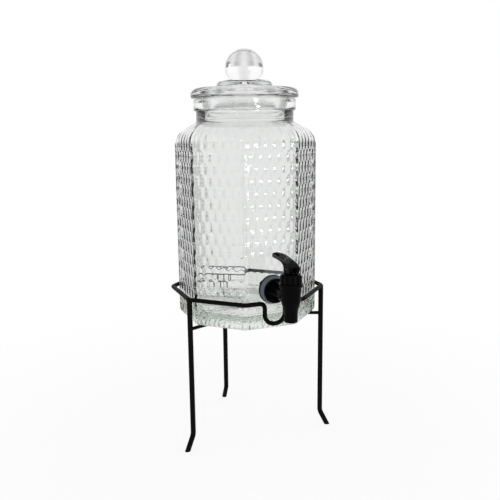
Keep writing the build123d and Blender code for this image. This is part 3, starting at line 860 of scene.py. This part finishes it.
# Softbox whose reflections make the dots on the jar
SOFTBOX_PLACE = Vector((0.132, AXIS_Y - 1.072, 0.27))
SOFTBOX_AIM = Vector((0, AXIS_Y, 0.28))
SOFTBOX_WIDE = 0.17
SOFTBOX_TALL = 0.16
SOFTBOX_WATTS = 1.4


# Stage

def add_turn(tree, way):
    """How far a direction turns from the backdrop's middle, as a share of half a turn."""
    middle = (-math.sin(BACKDROP_TURN), math.cos(BACKDROP_TURN), 0)
    level = add_vector_math(tree, "MULTIPLY", way, (1, 1, 0))
    heading = add_vector_math(tree, "NORMALIZE", level)
    facing = add_vector_math(tree, "DOT_PRODUCT", heading, middle, result="Value")
    return add_math(tree, "DIVIDE", add_math(tree, "ARCCOSINE", facing), math.pi)


def add_sweep(tree, turn, stops):
    """A grey level that changes with that turn, by stops in degrees."""
    ramp = add_node(tree, "ShaderNodeValToRGB", {"Fac": turn})
    elements = ramp.color_ramp.elements
    elements.remove(elements[1])
    for index, (angle, level) in enumerate(stops):
        stop = elements.new(angle / 180) if index else elements[0]
        stop.color = grey(level)
    return ramp.outputs["Color"]


def add_sharp_rays(tree, path):
    """One for rays that left glass or gloss."""
    return add_math(tree, "MAXIMUM", path["Is Glossy Ray"], path["Is Transmission Ray"])


def studio_world():
    """White to the camera; glass and gloss see a narrow backdrop below eye level and a wide one above."""
    world = bpy.data.worlds.new("studio")
    bpy.context.scene.world = world
    world.use_nodes = True
    tree = world.node_tree
    path = add_node(tree, "ShaderNodeLightPath", {}).outputs
    way = add_node(tree, "ShaderNodeTexCoord", {}).outputs["Generated"]
    turn = add_turn(tree, way)
    low = add_sweep(tree, turn, LOW_SWEEP)
    high = add_sweep(tree, turn, HIGH_SWEEP)
    rise = add_height(tree, way)
    horizon = add_range(tree, rise, HORIZON_BOTTOM, HORIZON_TOP, interpolation_type="SMOOTHSTEP")
    room = add_mix(tree, horizon, low, high)
    seen = add_mix(tree, add_sharp_rays(tree, path), grey(FILL_LEVEL), room)
    shown = add_mix(tree, path["Is Camera Ray"], seen, grey(BACKDROP_LEVEL))
    feed(tree, tree.nodes["Background"], {"Color": shown, "Strength": 1.0})


def floor_material():
    """Pale floor that reads as white to the camera and as the backdrop in glass, and keeps a soft shadow."""
    material, tree, shader = new_material("floor_white")
    feed(tree, shader, {"Base Color": grey(FLOOR_LEVEL), "Roughness": FLOOR_ROUGHNESS})
    path = add_node(tree, "ShaderNodeLightPath", {}).outputs
    sharp = add_sharp_rays(tree, path)
    place = add_place(tree)
    from_axis = add_vector_math(tree, "SUBTRACT", place, (0, AXIS_Y, 0))
    sweep = add_sweep(tree, add_turn(tree, from_axis), FLOOR_SWEEP)
    colour = add_mix(tree, sharp, grey(BACKDROP_LEVEL), sweep)
    glow = add_node(tree, "ShaderNodeEmission", {"Color": colour}).outputs["Emission"]
    away = add_vector_math(tree, "LENGTH", place, result="Value")
    reach = add_range(tree, away, FLOOR_GLOW_NEAR, FLOOR_GLOW_FAR, FLOOR_GLOW_SHARE)
    shown = add_math(tree, "MULTIPLY", path["Is Camera Ray"], reach)
    seen = add_math(tree, "MAXIMUM", sharp, shown)
    mix = add_node(tree, "ShaderNodeMixShader", {"Fac": seen, 1: shader.outputs["BSDF"], 2: glow})
    feed(tree, tree.nodes["Material Output"], {"Surface": mix.outputs["Shader"]})
    return material


def floor():
    """The plain floor under the feet, reaching back behind the object."""
    bm = bmesh.new()
    bmesh.ops.create_grid(bm, x_segments=1, y_segments=1, size=1)
    middle = (FLOOR_FRONT + FLOOR_BACK) / 2
    bmesh.ops.scale(bm, vec=(FLOOR_HALF_WIDE, (FLOOR_BACK - FLOOR_FRONT) / 2, 1), verts=bm.verts)
    bmesh.ops.translate(bm, vec=(0, middle, 0), verts=bm.verts)
    plane = add_object(bm, "floor", floor_material())


def softbox():
    """A rectangular area lamp that faces the jar, hidden from the camera."""
    light = bpy.data.lights.new("dot_softbox", "AREA")
    light.shape = "RECTANGLE"
    light.size = SOFTBOX_WIDE
    light.size_y = SOFTBOX_TALL
    light.energy = SOFTBOX_WATTS
    lamp = bpy.data.objects.new("dot_softbox", light)
    lamp.location = SOFTBOX_PLACE
    lamp.rotation_euler = (SOFTBOX_AIM - SOFTBOX_PLACE).to_track_quat("-Z", "Y").to_euler()
    lamp.visible_camera = False
    bpy.context.scene.collection.objects.link(lamp)


def camera():
    """The photograph's own view."""
    back = Vector((
        math.sin(CAMERA_TURN) * math.cos(CAMERA_PITCH),
        -math.cos(CAMERA_TURN) * math.cos(CAMERA_PITCH),
        math.sin(CAMERA_PITCH),
    ))
    level = Vector((math.cos(CAMERA_TURN), math.sin(CAMERA_TURN), 0))
    upright = back.cross(level)
    across = level * math.cos(CAMERA_ROLL) + upright * math.sin(CAMERA_ROLL)
    above = upright * math.cos(CAMERA_ROLL) - level * math.sin(CAMERA_ROLL)
    data = bpy.data.cameras.new("photo_view")
    data.lens = CAMERA_LENS
    data.sensor_width = SENSOR_WIDE
    view = bpy.data.objects.new("photo_view", data)
    turn = Matrix((across, above, back)).transposed().to_4x4()
    view.matrix_world = Matrix.Translation(CAMERA_PLACE) @ turn
    bpy.context.scene.collection.objects.link(view)
    bpy.context.scene.camera = view


def build():
    """Dress the nodes, add the new pieces and set the stage."""
    materials = make_materials()
    dress_nodes(materials)
    glass_jar(materials["jar_glass"])
    glass_lid(materials["lid_glass"])
    barrel_lip(materials["plastic"])
    bonnet_ribs(materials["plastic"])
    valve_spring(materials["steel"])
    studio_world()
    floor()
    softbox()
    camera()
    scene = bpy.context.scene
    scene.view_settings.view_transform = "Standard"
    scene.cycles.max_bounces = GLASS_BOUNCES
    scene.cycles.transmission_bounces = GLASS_BOUNCES


build()
